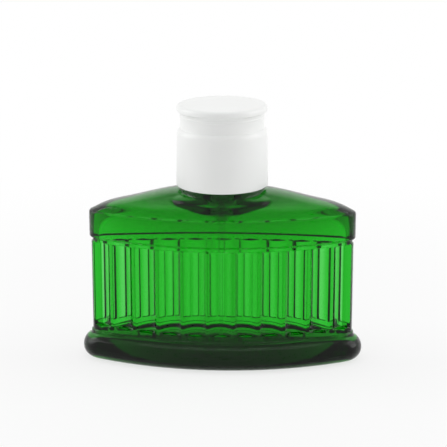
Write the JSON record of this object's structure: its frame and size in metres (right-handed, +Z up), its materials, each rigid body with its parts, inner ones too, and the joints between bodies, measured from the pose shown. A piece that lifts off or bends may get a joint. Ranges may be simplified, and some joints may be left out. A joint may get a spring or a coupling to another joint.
{
  "type": "aftershave bottle",
  "caption": "Fluted lens-shaped green glass bottle on a spread foot, filled with lotion, with a crimped fine-mist pump under a white pull-off cap with a waisted rim.",
  "frame": {"origin": "middle of the flat foot, on the surface that the bottle stands on", "axes": "+X across the bottle's width, -Y out of its front, +Z up along the neck"},
  "size_m": [0.1036, 0.0404, 0.0956],
  "materials": {
    "green_glass": "polished clear green glass",
    "lotion_liquid": "clear pale liquid",
    "tube_plastic": "natural extruded polyethylene",
    "gasket_rubber": "moulded seal rubber",
    "pump_plastic": "natural moulded polypropylene",
    "spring_steel": "drawn stainless wire",
    "ferrule_aluminium": "plain drawn aluminium",
    "collar_aluminium": "anodised satin aluminium",
    "button_plastic": "white moulded polypropylene",
    "nozzle_plastic": "white moulded acetal",
    "liner_plastic": "white moulded polyethylene",
    "cap_plastic": "white moulded plastic, soft gloss"
  },
  "bodies": {
    "bottle": {"glass_bottle": "green_glass", "lotion_fill": "lotion_liquid", "dip_tube": "tube_plastic", "neck_gasket": "gasket_rubber", "pump_housing": "pump_plastic", "main_spring": "spring_steel", "stem_gasket": "gasket_rubber", "pump_turret": "pump_plastic", "crimp_ferrule": "ferrule_aluminium", "collar_sleeve": "collar_aluminium"},
    "stem": {"pump_stem": "pump_plastic", "precompression_spring": "spring_steel"},
    "piston": {"pump_piston": "pump_plastic"},
    "ball": {"inlet_ball": "spring_steel"},
    "button": {"actuator_button": "button_plastic", "nozzle_insert": "nozzle_plastic"},
    "cap": {"overcap_shell": "cap_plastic", "overcap_liner": "liner_plastic"}
  },
  "joints": [
    {"name": "cap_lift", "type": "slide", "parent": "bottle", "child": "cap", "axis": [0, 0, 1], "range_m": [0, 0.045]},
    {"name": "button_press", "type": "slide", "parent": "bottle", "child": "stem", "axis": [0, 0, -1], "range_m": [0, 0.005], "stiffness_N_per_m": 1400, "springref_m": -0.003, "deforming": ["main_spring"]},
    {"name": "piston_slide", "type": "slide", "parent": "bottle", "child": "piston", "axis": [0, 0, -1], "range_m": [0, 0.0045], "deforming": ["precompression_spring"]},
    {"name": "ball_lift", "type": "slide", "parent": "bottle", "child": "ball", "axis": [0, 0, 1], "range_m": [0, 0.0006]},
    {"name": "button_turn", "type": "hinge", "parent": "stem", "child": "button", "pos_m": [0, 0, 0.084], "axis": [0, 0, 1], "continuous": true}
  ],
  "couplings": [
    {"joint": "piston_slide", "follows": "button_press", "ratio": 0.9}
  ]
}
